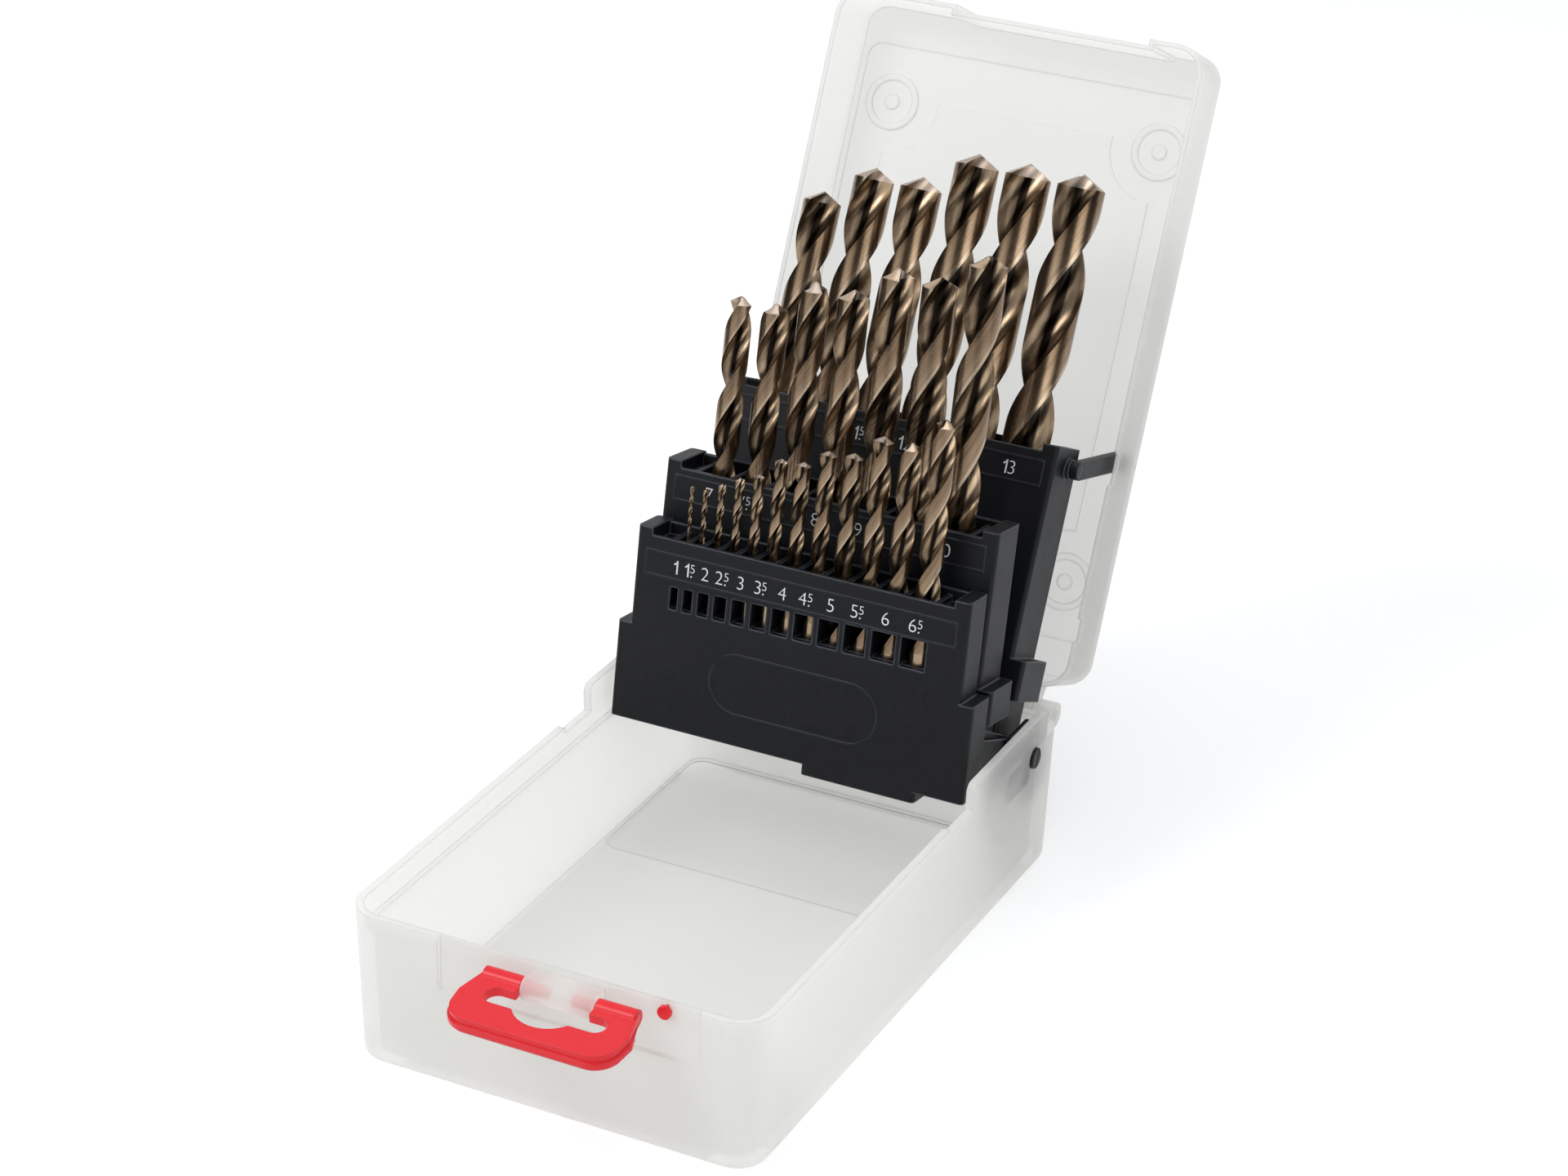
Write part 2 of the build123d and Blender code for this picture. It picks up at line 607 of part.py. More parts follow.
# ---- link bars between the rear rack and the lid ----
bar_start = rear_frame.from_local_coords(Vector(0, bar_pivot_back, bar_pivot_up))
bar_finish = lid_frame.from_local_coords(Vector(0, bar_end_y, bar_end_height))
bar_length = (bar_finish - bar_start).length
bar_drop = math.degrees(math.atan2(bar_start.Z - bar_finish.Z, bar_finish.Y - bar_start.Y))
bar_frame = Plane(Pos(0, bar_start.Y, bar_start.Z) * Rot(-bar_drop, 0, 0))
for name, side in (("left", -1), ("right", 1)):
    with BuildPart() as link_bar:
        with BuildSketch(side_plane(bar_frame, side * bar_inner)) as outline:
            with Locations((bar_length / 2, 0)):
                SlotCenterToCenter(bar_length, bar_height)
            with Locations((0, 0)):
                Circle(bar_pin_radius + run_clearance, mode=Mode.SUBTRACT)
            with Locations((bar_length, 0)):
                Circle(bar_pin_radius, mode=Mode.SUBTRACT)
        extrude(outline.sketch, amount=side * bar_thickness)
    link_bar.part.label = f"link_bar_{name}"
    export_step(link_bar.part, f"parts/link_bar_{name}.step")

# ---- latch ----
def latch_outline(stand):
    """The latch's outline from above, pushed outwards by a small stand."""
    side = latch_half + stand
    end = -latch_reach - stand
    with BuildSketch(latch_frame) as outline:
        with BuildLine():
            Polyline((-latch_arm_end, 1), (-side, -8.5), (-side + 1, end), (side - 1, end), (side, -8.5),
                     (latch_arm_end, 1), close=True)
        make_face()
        fillet(outline.vertices().group_by(Axis.Y)[0], latch_corner + stand)
    return outline.sketch


def on_latch(shape, height):
    return shape.moved(Location(latch_frame.z_dir * height))


with BuildPart() as latch:
    extrude(on_latch(latch_outline(0), -latch_plate / 2), dir=latch_frame.z_dir, amount=latch_plate)
    # Two steps of a thicker gripping edge under the free side
    for stand, low, high in ((latch_lip_stand, -latch_lip, 0.5), (0, -latch_lip - latch_lip_step, -latch_lip + 0.1)):
        extrude(on_latch(latch_outline(stand), low - latch_plate / 2), dir=latch_frame.z_dir, amount=high - low)
    slab(latch_frame, -latch_half - 2, latch_half + 2, latch_lip_start, latch_barrel + 2,
         -latch_plate / 2 - latch_lip - latch_lip_step - 1, -latch_plate / 2, Mode.SUBTRACT)
    slab(latch_frame, -latch_half + latch_lip_width, latch_half - latch_lip_width,
         -latch_reach + latch_lip_width, latch_barrel + 2,
         -latch_plate / 2 - latch_lip - latch_lip_step - 1, -latch_plate / 2, Mode.SUBTRACT)
    # Opening round the tray's knuckle, finger slots and a round relief in the inner edge
    slab(latch_frame, -latch_arm, latch_arm, latch_slot_back - latch_slot_height / 2, 3, -3, 3, Mode.SUBTRACT)
    with BuildSketch(latch_frame.offset(-3)) as slots:
        with Locations((0, latch_slot_back)):
            SlotOverall(latch_slot_length, latch_slot_height)
        with Locations((0, latch_relief_back)):
            Circle(latch_relief)
    extrude(slots.sketch, amount=6, mode=Mode.SUBTRACT)
    for side in (-1, 1):
        rod(latch_frame, 0, 0, latch_barrel, side * latch_arm, side * latch_arm_end)
        rod(latch_frame, 0, 0, stub_radius, side * (latch_arm + 1), side * (tray_knuckle_half - stub_length))
latch.part.label = "latch"
export_step(latch.part, "parts/latch.step")


# ---- drill bits ----
def drill_shape(frame, across, back, floor, size):
    """A bit standing on its cell's floor: plain shank, two-flute twisted body and ground point."""
    diameter, overall, flute = size
    radius = diameter / 2
    shank = overall - flute
    web = core_ratio * radius
    groove = flute_ratio * diameter
    cone = radius * math.tan(math.radians(90 - point_angle / 2))
    with BuildSketch(frame.offset(floor)) as section:
        with Locations((across, back)):
            Circle(radius)
            with Locations((groove + web, 0), (-groove - web, 0)):
                Circle(groove, mode=Mode.SUBTRACT)
    along = frame.z_dir
    foot = frame.from_local_coords(Vector(across, back, floor))
    fluted = Solid.extrude_linear_with_rotation(section.sketch.faces()[0].moved(Location(along * shank)),
                                                foot + along * shank, along * flute,
                                                360 * flute / (helix_lead * diameter))
    add(fluted)
    with BuildSketch(frame.offset(floor)) as round_shank:
        with Locations((across, back)):
            Circle(radius - shank_ease)
    extrude(round_shank.sketch, amount=shank)
    # The ground point is what a pointed outline turned round the bit's axis leaves
    turning = Plane(origin=foot, x_dir=frame.x_dir, z_dir=-frame.y_dir)
    with BuildSketch(turning) as point:
        with BuildLine():
            Polyline((0, 0), (radius - 0.1 * radius, 0), (radius + 0.2, 0.1 * diameter + 0.2),
                     (radius + 0.2, overall - cone), (0, overall), close=True)
        make_face()
    revolve(point.sketch, axis=Axis(foot, along), mode=Mode.INTERSECT)


rows = [(front_frame, front_near + front_thick / 2, front_sizes, front_places, front_floors),
        (middle_frame, middle_near + middle_thick / 2, middle_sizes, middle_places, middle_floors),
        (rear_frame, rear_near + rear_thick / 2, rear_sizes, rear_places, rear_floors)]
for frame, back, sizes, places, floors in rows:
    for size, place, floor in zip(sizes, places, floors):
        name = f"drill_{size[0]:.1f}".replace(".", "_")
        with BuildPart() as drill:
            drill_shape(frame, place[0], back, floor, size)
        drill.part.label = name
        export_step(drill.part, f"parts/{name}.step")
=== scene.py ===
import bpy
import math
from mathutils import Matrix, Vector


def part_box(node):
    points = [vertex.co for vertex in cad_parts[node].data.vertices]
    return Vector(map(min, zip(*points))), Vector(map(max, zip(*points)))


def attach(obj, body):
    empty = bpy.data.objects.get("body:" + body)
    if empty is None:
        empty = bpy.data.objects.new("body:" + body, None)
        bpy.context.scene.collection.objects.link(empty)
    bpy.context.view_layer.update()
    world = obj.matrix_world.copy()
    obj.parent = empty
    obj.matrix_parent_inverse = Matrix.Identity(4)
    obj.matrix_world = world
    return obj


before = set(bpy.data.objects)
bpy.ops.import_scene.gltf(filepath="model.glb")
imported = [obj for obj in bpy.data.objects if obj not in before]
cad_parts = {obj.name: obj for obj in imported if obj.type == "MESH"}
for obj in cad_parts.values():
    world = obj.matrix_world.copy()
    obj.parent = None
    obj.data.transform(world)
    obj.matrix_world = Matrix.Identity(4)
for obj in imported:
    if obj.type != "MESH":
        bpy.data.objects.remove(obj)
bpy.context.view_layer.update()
print("frame loaded:", len(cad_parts), "nodes")


class Wire:  # a shader socket that understands Python's operators
    def __init__(self, tree, socket):
        self.tree = tree
        self.socket = socket

    def calc(self, operation, *others):
        node = self.tree.nodes.new("ShaderNodeMath")
        node.operation = operation
        for place, value in enumerate([self, *others]):
            if isinstance(value, Wire):
                self.tree.links.new(value.socket, node.inputs[place])
            else:
                node.inputs[place].default_value = value
        return Wire(self.tree, node.outputs[0])

    def __add__(self, other):
        return self.calc("ADD", other)

    def __sub__(self, other):
        return self.calc("SUBTRACT", other)

    def __rsub__(self, other):
        return self.calc("MULTIPLY", -1.0).calc("ADD", other)

    def __mul__(self, other):
        return self.calc("MULTIPLY", other)

    def __truediv__(self, other):
        return self.calc("DIVIDE", other)

    __radd__ = __add__
    __rmul__ = __mul__


class Finish:  # one material and the few moves that build it
    def __init__(self, name):
        self.material = bpy.data.materials.new(name)
        self.material.use_nodes = True
        self.tree = self.material.node_tree
        self.shader = self.tree.nodes["Principled BSDF"]

    def node(self, kind, settings=None, out=0, sockets=None, **values):
        made = self.tree.nodes.new(kind)
        for key, value in (settings or {}).items():
            setattr(made, key, value)
        for key, value in {**(sockets or {}), **values}.items():
            self.feed(made.inputs[key], value)
        return Wire(self.tree, made.outputs[out])

    def feed(self, socket, value):
        if isinstance(value, Wire):
            self.tree.links.new(value.socket, socket)
        else:
            socket.default_value = value

    def set(self, **values):
        for key, value in values.items():
            self.feed(self.shader.inputs[key.replace("_", " ")], value)

    def place(self):
        return self.node("ShaderNodeTexCoord", out=3)

    def noise(self, scale, detail=3.0, roughness=0.5, at=None):
        return self.node("ShaderNodeTexNoise", Vector=at or self.place(), Scale=scale, Detail=detail,
                         Roughness=roughness)

    def ramp(self, value, low, high):
        return self.node("ShaderNodeMapRange", {"interpolation_type": "SMOOTHSTEP"}, Value=value,
                         sockets={1: low, 2: high, 3: 0.0, 4: 1.0})

    def mix(self, amount, first, second):
        return self.node("ShaderNodeMix", {"data_type": "RGBA"}, out=2,
                         sockets={0: amount, 6: first, 7: second})

    def dot(self, first, second):
        return self.node("ShaderNodeVectorMath", {"operation": "DOT_PRODUCT"}, out=1,
                         sockets={0: first, 1: second})

    def bump(self, height, strength, distance, normal=None):
        extra = {"Normal": normal} if normal else {}
        return self.node("ShaderNodeBump", Height=height, Strength=strength, Distance=distance, sockets=extra)

    def edge(self, radius):  # 0 on flats, rising towards corners, and the rounded normal
        rounded = self.node("ShaderNodeBevel", {"samples": 6}, Radius=radius)
        flat = self.node("ShaderNodeNewGeometry", out=1)
        return 1.0 - self.dot(rounded, flat), rounded


def wear(nodes, finish):
    for node in nodes:
        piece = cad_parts[node]
        piece.data.materials.clear()
        piece.data.materials.append(finish.material)


# Shell: milky see-through plastic, denser along its edges, which a painted highlight also whitens
shellLook = {
    "clear": (0.84, 0.84, 0.82, 1),
    "cloudy": (0.80, 0.80, 0.785, 1),
    # edge: white of the painted edge highlight, also the colour of the light let through the wall
    "edge": (0.92, 0.92, 0.90, 1),
    "edgeRadius": 0.0011,
    "edgeSpan": (0.02, 0.16),
    "edgeAlpha": 0.34,
    "alpha": 0.49,
    "glow": 0.47,
    "roughness": 0.37,
    "shine": 0.35,
    "cloudScale": 26.0,
    "scuffScale": 210.0,
    "scuffSpan": (0.62, 0.78),
    "grainScale": 700.0,
    "grainDepth": 0.0003,
}


def shellFinish():
    milky = Finish("milkyPlastic")
    rim, rounded = milky.edge(shellLook["edgeRadius"])
    # edges are made denser and whitened by a painted highlight
    edgeDensityAndPaintedHighlight = milky.ramp(rim, *shellLook["edgeSpan"])
    cloud = milky.noise(shellLook["cloudScale"], 4.0, 0.6)
    scuff = milky.ramp(milky.noise(shellLook["scuffScale"], 6.0, 0.7), *shellLook["scuffSpan"])
    body = milky.mix(cloud, shellLook["clear"], shellLook["cloudy"])
    bump = milky.bump(milky.noise(shellLook["grainScale"], 2.0), 0.06, shellLook["grainDepth"], rounded)
    tint = milky.mix(edgeDensityAndPaintedHighlight * 0.8, body, shellLook["edge"])
    milky.set(Base_Color=tint, Roughness=cloud * 0.10 + scuff * 0.12 + shellLook["roughness"],
              Alpha=edgeDensityAndPaintedHighlight * shellLook["edgeAlpha"] + scuff * 0.03 + shellLook["alpha"], Normal=bump)
    milky.set(Specular_IOR_Level=shellLook["shine"])
    through = milky.node("ShaderNodeBsdfTranslucent", Color=shellLook["edge"])
    surface = Wire(milky.tree, milky.shader.outputs[0])
    both = milky.node("ShaderNodeMixShader", sockets={0: shellLook["glow"], 1: surface, 2: through})
    milky.feed(milky.tree.nodes["Material Output"].inputs[0], both)
    return milky


# Racks and fittings: fine matt black with rubbed edges, lightened partly as a painted edge highlight
blackLook = {
    "black": (0.0052, 0.0060, 0.0080, 1),
    # worn: bluish grey of the edges, partly rubbed wear, partly a painted highlight
    "worn": (0.135, 0.155, 0.19, 1),
    "edgeRadius": 0.0009,
    "rubAndPaintedHighlightSpan": (0.03, 0.22),
    "roughness": 0.39,
    "shine": 0.21,
    "patchScale": 130.0,
    "dustScale": 900.0,
    "dustSpan": (0.66, 0.80),
    "grainScale": 2600.0,
    "grainDepth": 0.00012,
}


def blackFinish(name, edgeWearAndPaintedHighlight):
    black = Finish(name)
    worn, rounded = black.edge(blackLook["edgeRadius"])
    patch = black.noise(blackLook["patchScale"], 5.0, 0.65)
    # edges lightened in patches: partly rubbed wear, partly a painted highlight
    rubAndPaintedHighlight = black.ramp(worn * (patch * 1.4 + 0.15), *blackLook["rubAndPaintedHighlightSpan"]) * (0.8 * edgeWearAndPaintedHighlight)
    dust = black.ramp(black.noise(blackLook["dustScale"], 3.0, 0.7), *blackLook["dustSpan"]) * 0.05
    bump = black.bump(black.noise(blackLook["grainScale"], 2.0), 0.28, blackLook["grainDepth"], rounded)
    black.set(Base_Color=black.mix(rubAndPaintedHighlight + dust, blackLook["black"], blackLook["worn"]),
              Roughness=patch * 0.14 - rubAndPaintedHighlight * 0.2 + blackLook["roughness"], Normal=bump)
    black.set(Specular_IOR_Level=blackLook["shine"])
    return black


# Latch and peg: glossy red, its edges paled by a painted highlight
redLook = {
    "red": (0.86, 0.018, 0.030, 1),
    "deep": (0.72, 0.010, 0.020, 1),
    # pale: colour of the painted edge highlight
    "pale": (0.95, 0.14, 0.16, 1),
    "edgeRadius": 0.0005,
    "edgeSpan": (0.03, 0.25),
    "roughness": 0.21,
    "shine": 0.32,
    "depth": 0.0015,
    "cloudScale": 70.0,
    "grainScale": 520.0,
    "grainDepth": 0.0002,
}


def redFinish():
    red = Finish("redPlastic")
    # the edge mask here drives a painted highlight on the edges
    worn, rounded = red.edge(redLook["edgeRadius"])
    cloud = red.noise(redLook["cloudScale"], 3.0)
    body = red.mix(cloud * 0.5, redLook["red"], redLook["deep"])
    paintedEdgeHighlight = red.ramp(worn, *redLook["edgeSpan"]) * 0.45
    bump = red.bump(red.noise(redLook["grainScale"]), 0.10, redLook["grainDepth"], rounded)
    red.set(Base_Color=red.mix(paintedEdgeHighlight, body, redLook["pale"]),
            Roughness=cloud * 0.12 + redLook["roughness"], Normal=bump)
    red.set(Specular_IOR_Level=redLook["shine"], Subsurface_Weight=0.12, Subsurface_Radius=(1.0, 0.2, 0.15),
            Subsurface_Scale=redLook["depth"])
    return red


# Drill bits: bronze oxide, with a painted reflection in the flutes, dark at the floor, and bright on the
# margins and the ground points
drillLook = {
    # dark and sheen paint the reflection in the flutes, from the dark floor to the highlight band; sheen also
    # tints the shank
    "dark": (0.008, 0.005, 0.003, 1),
    "brown": (0.120, 0.075, 0.043, 1),
    "land": (0.315, 0.228, 0.150, 1),
    "sheen": (0.47, 0.345, 0.228, 1),
    "margin": (0.54, 0.44, 0.33, 1),
    "point": (0.42, 0.34, 0.28, 1),
    "roughness": 0.17,
    "metal": 0.95,
    "lead": 5.9,
    "fluteEdge": 0.30,
    "pointAngle": 118,
    "marginEdge": 0.935,
    "heelEdge": 0.92,
    "blur": 0.0002,
}


def drillFinish(node, size, rack, tip):
    up, back, foot = rack["up"], rack["back"], tip["foot"]
    bronze = Finish(node + "Bronze")
    here = bronze.node("ShaderNodeVectorMath", {"operation": "SUBTRACT"},
                       sockets={0: bronze.place(), 1: foot})
    along = bronze.dot(here, up)
    across = bronze.dot(here, (1, 0, 0))
    behind = bronze.dot(here, back)
    spread = (across * across + behind * behind).calc("SQRT") / (size / 2000)
    halfTurns = 2000 / (drillLook["lead"] * size)  # half turns of the flutes in a metre
    turn = behind.calc("ARCTAN2", across) / math.pi - (along - tip["shank"]) * halfTurns
    phase = turn.calc("FRACT")  # 0 in the middle of a flute, 0.5 in the middle of a land
    edge = drillLook["fluteEdge"]
    heel, marginEdge, blur = drillLook["heelEdge"] - edge, drillLook["marginEdge"] - edge, drillLook["blur"]
    fluted = bronze.ramp(along, tip["shank"] - blur, tip["shank"] + blur)
    onLand = bronze.ramp(spread, 0.93, 0.975) * fluted
    margin = bronze.ramp(phase, marginEdge, marginEdge + 0.01) * onLand
    slope = phase.calc("PINGPONG", 0.5) / edge  # 0 along a flute's floor, 1 at its edges, more on the land
    streak = bronze.node("ShaderNodeCombineXYZ", X=slope, Y=along * (30 / size), Z=spread)
    lines = bronze.noise(7.0, 4.0, 0.6, streak)
    cloud = bronze.noise(420 / size, 3.0, 0.6)
    tint = bronze.noise(150.0, 4.0, 0.6)
    # across a flute a painted reflection runs from dark at its floor to a painted highlight band under the
    # land's edge
    paintedFluteReflection = bronze.ramp(slope + (cloud - 0.5) * 1.1 + (lines - 0.5) * 0.4, 0.70, 1.38)
    flute = bronze.mix(paintedFluteReflection, drillLook["dark"], drillLook["sheen"])
    # across each land, painted shade from brown at one edge to the lighter land colour at the other, mixed
    # with grinding streaks
    paintedLandShadeAndStreaks = bronze.ramp(phase, edge, heel) * 0.6 + bronze.ramp(lines, 0.35, 0.65) * 0.4
    land = bronze.mix(paintedLandShadeAndStreaks, drillLook["brown"], drillLook["land"])
    shank = bronze.mix(tint, drillLook["land"], drillLook["sheen"])
    body = bronze.mix(fluted, shank, bronze.mix(onLand, flute, land))
    body = bronze.mix(margin * 0.55, body, drillLook["margin"])
    point = bronze.ramp(along, tip["cone"] - 0.00015, tip["cone"] + 0.00005) * bronze.ramp(cloud, 0.40, 0.56)
    step = bronze.ramp(phase, marginEdge - 0.003, marginEdge + 0.005)
    bump = bronze.bump(lines * 0.5 + step * onLand * 1.5, 0.14, 0.00014)
    bronze.set(Base_Color=bronze.mix(point, body, drillLook["point"]), Metallic=drillLook["metal"],
               Roughness=tint * 0.16 + point * 0.10 + drillLook["roughness"], Normal=bump)
    return bronze


milkyPlastic = shellFinish()
blackPlastic = blackFinish("blackPlastic", 1.0)
fittingBlack = blackFinish("fittingBlack", 0.5)
redPlastic = redFinish()
wear(["base_tray", "lid", "hinge_pin_left", "hinge_pin_right"], milkyPlastic)
wear(["front_rack", "middle_rack", "rear_rack"], blackPlastic)
wear(["pivot_bracket_left", "pivot_bracket_right", "pivot_pin_left", "pivot_pin_right", "link_bar_left",
      "link_bar_right"], fittingBlack)
wear(["latch", "rim_peg"], redPlastic)
print("finishes made for shell, racks, fittings and latch")

# Each rack's lean, the middle of its cells, its front face and its label row, in metres from the pivot
racks = {
    "front_rack": {"lean": 9.0, "near": -0.0353, "middle": -0.02965, "label": 0.0412, "largest": 6.7},
    "middle_rack": {"lean": 10.8, "near": -0.0237, "middle": -0.0165, "label": 0.0579, "largest": 10.2},
    "rear_rack": {"lean": 25.0, "near": -0.0089, "middle": -0.00005, "label": 0.0744, "largest": 14.0},
}
fluteLengths = {1: 12, 1.5: 18, 2: 24, 2.5: 30, 3: 33, 3.5: 39, 4: 43, 4.5: 47, 5: 52, 5.5: 57, 6: 57,
                6.5: 63, 7: 69, 7.5: 69, 8: 75, 8.5: 75, 9: 81, 9.5: 81, 10: 87, 10.5: 87, 11: 94,
                11.5: 94, 12: 101, 12.5: 101, 13: 101}
rackPivot = Vector((0, 0.071, 0.0378))
for facts in racks.values():
    lean = math.radians(facts["lean"])
    facts["up"] = Vector((0, math.sin(lean), math.cos(lean)))
    facts["back"] = Vector((0, math.cos(lean), -math.sin(lean)))
drills = {}
for size, flute in fluteLengths.items():
    node = f"drill_{size:.1f}".replace(".", "_")
    rack = next(name for name in racks if size < racks[name]["largest"])
    facts = racks[rack]
    low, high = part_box(node)
    across = (low[0] + high[0]) / 2
    foot = rackPivot + facts["back"] * facts["middle"]
    foot.x = across
    top = max((v.co - foot).dot(facts["up"]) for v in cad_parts[node].data.vertices)
    cone = size / 2000 / math.tan(math.radians(drillLook["pointAngle"] / 2))
    tip = {"foot": foot, "shank": top - flute / 1000, "cone": top - cone}
    drills[node] = {"size": size, "across": across, "rack": rack}
    wear([node], drillFinish(node, size, facts, tip))
print("drill bits finished:", len(drills))

# White size numbers on the racks; a half is a small raised 5 over a dot
numberLook = {
    "height": 0.0037,
    "half": 0.0024,
    "gap": 0.00040,
    "dotGap": 0.0002,
    "thickness": 0.00008,
    "thin": -0.027,  # how far the strokes of the font are slimmed, as a share of the height
    "capShare": 0.69,  # height of a digit as a share of the font's size
    "stem": 0.11,
    "strokes": ((0.30, 0.5, 1.0, 0), (0.185, 0.80, 0.34, -52)),  # a 1: place, length and lean of each stroke
    "white": (0.80, 0.81, 0.82, 1),
    "worn": (0.55, 0.56, 0.58, 1),
    "patchScale": 1400.0,
    "roughness": 0.45,
}


def paintFinish():
    paint = Finish("whitePaint")
    patch = paint.ramp(paint.noise(numberLook["patchScale"], 4.0, 0.7), 0.5, 0.75)
    paint.set(Base_Color=paint.mix(patch, numberLook["white"], numberLook["worn"]),
              Roughness=patch * 0.2 + numberLook["roughness"])
    return paint


def drawnOne():  # a 1 with a flag, one unit high: an upright stroke and a slanting one
    strokes = []
    for across, up, length, lean in numberLook["strokes"]:
        turned = (0, 0, math.radians(lean))
        bpy.ops.mesh.primitive_plane_add(size=1, location=(across, up, 0), rotation=turned)
        stroke = bpy.context.object
        stroke.scale = (numberLook["stem"], length, 1)
        bpy.ops.object.transform_apply(location=True, rotation=True, scale=True)
        strokes.append(stroke)
    return joined(strokes)


def glyph(letter, height, left, low):
    bpy.ops.object.select_all(action="DESELECT")
    depth = numberLook["thickness"]
    if letter == "1":
        piece = drawnOne()
        bpy.ops.object.mode_set(mode="EDIT")
        bpy.ops.mesh.select_all(action="SELECT")
        bpy.ops.mesh.extrude_region_move(TRANSFORM_OT_translate={"value": (0, 0, 2 * depth / height)})
        bpy.ops.mesh.select_all(action="SELECT")
        bpy.ops.mesh.normals_make_consistent(inside=False)
        bpy.ops.object.mode_set(mode="OBJECT")
        piece.data.transform(Matrix.Translation((0, 0, -depth / height)))
        piece.data.transform(Matrix.Scale(height, 4))
    else:
        bpy.ops.object.text_add(location=(0, 0, 0))
        piece = bpy.context.object
        piece.data.body = letter
        piece.data.size = height / numberLook["capShare"]
        piece.data.extrude = depth
        piece.data.offset = numberLook["thin"] * height
        bpy.ops.object.convert(target="MESH")
        piece = bpy.context.object
    start = min(v.co.x for v in piece.data.vertices)
    piece.data.transform(Matrix.Translation((left - start, low, 0)))
    return piece


def joined(pieces):
    bpy.ops.object.select_all(action="DESELECT")
    for piece in pieces:
        piece.select_set(True)
    bpy.context.view_layer.objects.active = pieces[0]
    if len(pieces) > 1:
        bpy.ops.object.join()
    return bpy.context.object


def numberPiece(size):
    height, gap = numberLook["height"], numberLook["gap"]
    parts, left = [], 0.0
    for letter in str(int(size)):
        parts.append(glyph(letter, height, left, 0))
        left = max(v.co.x for v in parts[-1].data.vertices) + gap
    if size % 1:
        parts.append(glyph("5", numberLook["half"], left, height - numberLook["half"]))
        parts.append(glyph(".", height, left + numberLook["dotGap"], 0))
    piece = joined(parts)
    edges = [v.co.x for v in piece.data.vertices]
    piece.data.transform(Matrix.Translation((-(min(edges) + max(edges)) / 2, -height / 2, 0)))
    return piece


whitePaint = paintFinish()
for rack, facts in racks.items():
    made = []
    for drill in drills.values():
        if drill["rack"] == rack:
            piece = numberPiece(drill["size"])
            stand = facts["near"] - numberLook["thickness"]
            spot = rackPivot + facts["back"] * stand + facts["up"] * facts["label"]
            spot.x = drill["across"]
            turn = Matrix((Vector((1, 0, 0)), facts["up"], -facts["back"])).transposed().to_4x4()
            piece.data.transform(Matrix.Translation(spot) @ turn)
            made.append(piece)
    numbers = joined(made)
    numbers.name = rack.replace("_rack", "Numbers")
    numbers.data.materials.clear()
    numbers.data.materials.append(whitePaint.material)
    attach(numbers, rack)
    print("numbers on", rack, len(made))

# Floor: pale, white to the camera, and it keeps the shadow
floorLook = {"paint": (0.86, 0.86, 0.87, 1), "glow": 0.34}
bpy.ops.object.select_all(action="DESELECT")
bpy.ops.mesh.primitive_plane_add(size=9, location=(0, 0, 0))
floor = bpy.context.object
floor.name = "floor"
floorPaint = Finish("floorPaint")
cameraRay, glossyRay, clearRay = (floorPaint.node("ShaderNodeLightPath", out=place) for place in (0, 3, 6))
seen = cameraRay.calc("MAXIMUM", glossyRay).calc("MAXIMUM", clearRay)
floorPaint.set(Base_Color=floorLook["paint"], Roughness=0.9, Emission_Strength=floorLook["glow"],
               Emission_Color=floorPaint.mix(seen, (0, 0, 0, 1), (1, 1, 1, 1)))
floor.data.materials.append(floorPaint.material)

# Room: white to the camera, the metal and the clear plastic; a plain pale room to everything else
roomLook = {"light": (0.93, 0.96, 1.0, 1), "strength": 0.45}
world = bpy.data.worlds.new("softRoom")
bpy.context.scene.world = world
world.use_nodes = True
roomTree = world.node_tree
paths = roomTree.nodes.new("ShaderNodeLightPath")
seenRoom = Wire(roomTree, paths.outputs[0]).calc("MAXIMUM", Wire(roomTree, paths.outputs[3]))
seenRoom = seenRoom.calc("MAXIMUM", Wire(roomTree, paths.outputs[6]))
plain = roomTree.nodes["Background"]
plain.inputs[0].default_value = roomLook["light"]
plain.inputs[1].default_value = roomLook["strength"]
white = roomTree.nodes.new("ShaderNodeBackground")
white.inputs[0].default_value = (1, 1, 1, 1)
either = roomTree.nodes.new("ShaderNodeMixShader")
roomTree.links.new(seenRoom.socket, either.inputs[0])
roomTree.links.new(plain.outputs[0], either.inputs[1])
roomTree.links.new(white.outputs[0], either.inputs[2])
roomTree.links.new(either.outputs[0], roomTree.nodes["World Output"].inputs[0])

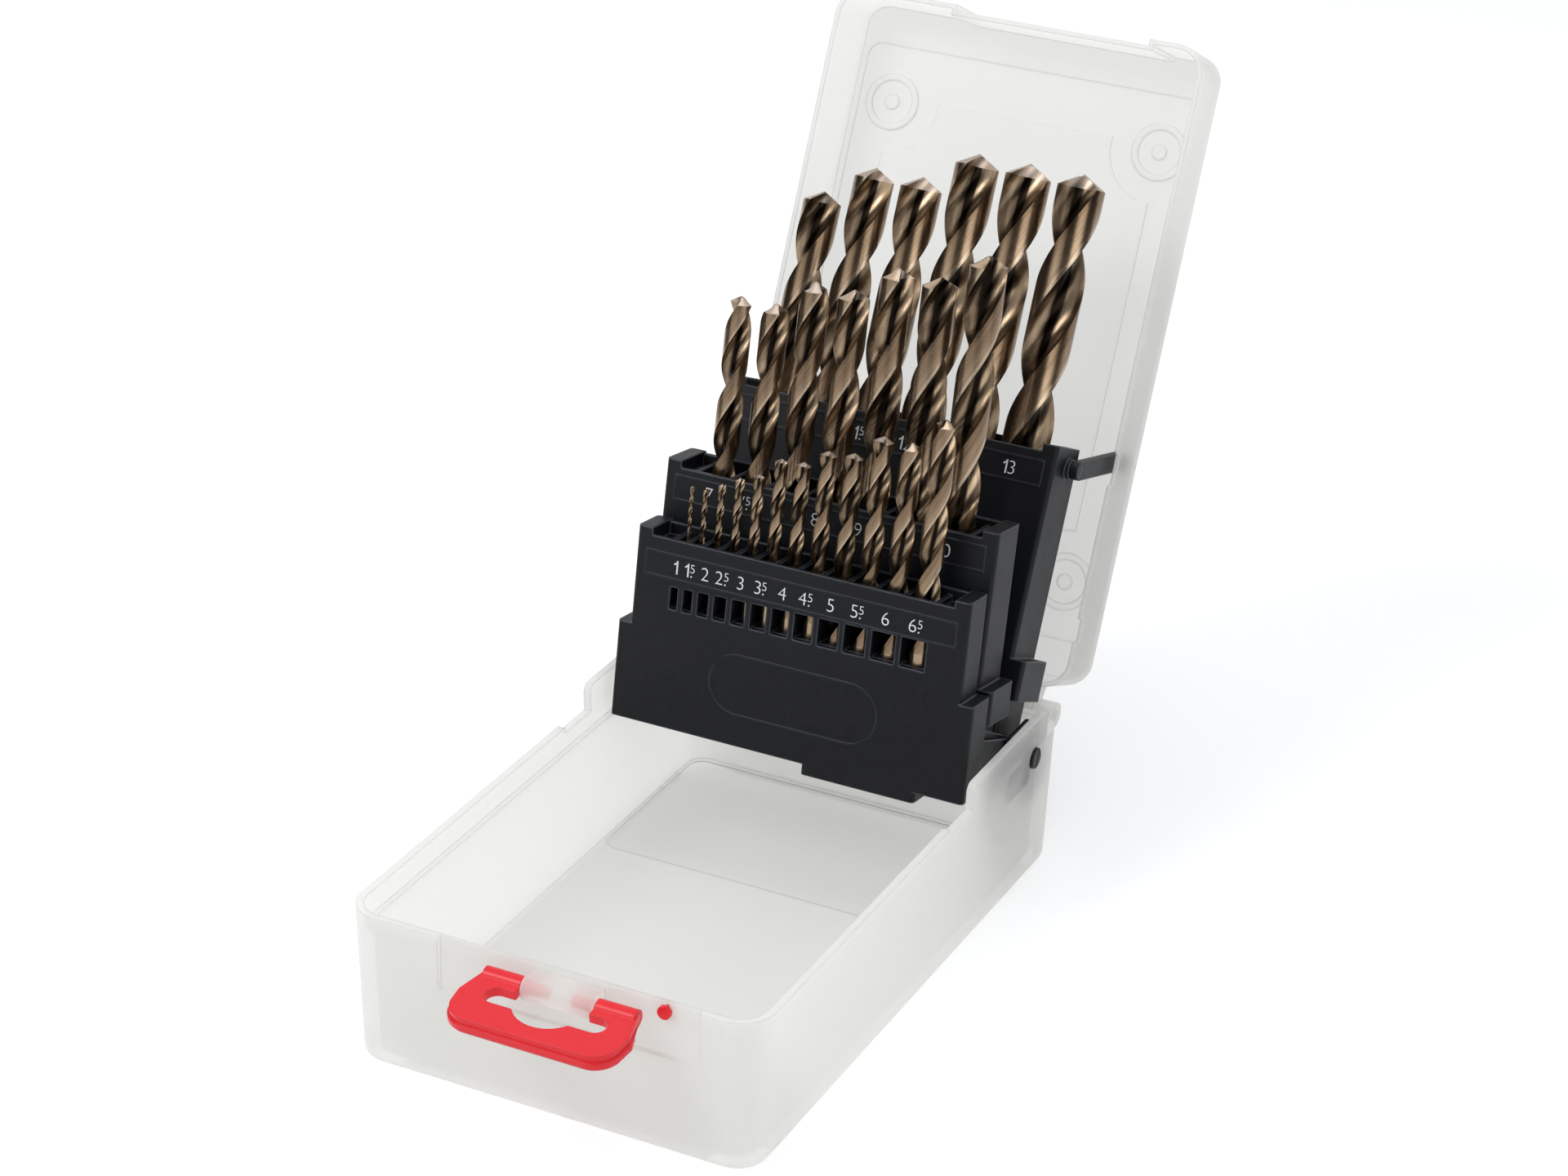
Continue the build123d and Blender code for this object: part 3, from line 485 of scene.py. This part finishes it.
# Dark cards out of the picture, there for the metal to mirror
cards = {
    "leftCard": {"at": (-0.55, -0.10, 0.30), "turn": (0, 90, 0), "size": 0.60},
    "rightCard": {"at": (0.62, 0.25, 0.30), "turn": (0, 90, 0), "size": 0.50},
    "frontCard": {"at": (0.24, -0.55, 0.36), "turn": (64, 0, 26), "size": 0.50},
}
cardPaint = Finish("cardPaint")
cardPaint.set(Base_Color=(0.01, 0.01, 0.01, 1), Roughness=0.9, Specular_IOR_Level=0.0)
for name, facts in cards.items():
    bpy.ops.object.select_all(action="DESELECT")
    bpy.ops.mesh.primitive_plane_add(size=facts["size"], location=facts["at"],
                                     rotation=[math.radians(angle) for angle in facts["turn"]])
    card = bpy.context.object
    card.name = name
    card.data.materials.append(cardPaint.material)
    card.visible_camera = False
    card.visible_diffuse = False
    card.visible_shadow = False
    card.visible_transmission = False

lamps = {
    "keyLamp": {"at": (-0.75, -0.85, 1.25), "size": 0.7, "power": 10.0},
    "fillLamp": {"at": (1.15, -0.55, 0.75), "size": 0.8, "power": 3.6},
    "topLamp": {"at": (0.05, 0.35, 1.55), "size": 1.0, "power": 6.0},
}
target = Vector((0, 0.05, 0.08))
for name, facts in lamps.items():
    bpy.ops.object.light_add(type="AREA", location=facts["at"])
    lamp = bpy.context.object
    lamp.name = name
    lamp.data.size = facts["size"]
    lamp.data.energy = facts["power"]
    lamp.rotation_mode = "QUATERNION"
    lamp.rotation_quaternion = (target - Vector(facts["at"])).to_track_quat("-Z", "Y")

cameraFacts = {"at": (0.4159, -0.81698, 0.56138), "right": (0.893191, 0.449113, 0.022511),
               "up": (-0.218044, 0.388775, 0.89516), "back": (0.393276, -0.804458, 0.445177), "lens": 93.7175}
bpy.ops.object.camera_add()
camera = bpy.context.object
turn = Matrix((cameraFacts["right"], cameraFacts["up"], cameraFacts["back"])).transposed().to_4x4()
camera.matrix_world = Matrix.Translation(cameraFacts["at"]) @ turn
camera.data.lens = cameraFacts["lens"]
camera.data.sensor_width = 36
camera.data.clip_start = 0.05
bpy.context.scene.camera = camera
bpy.context.scene.view_settings.view_transform = "Standard"
print("floor, room, lamps and camera placed")
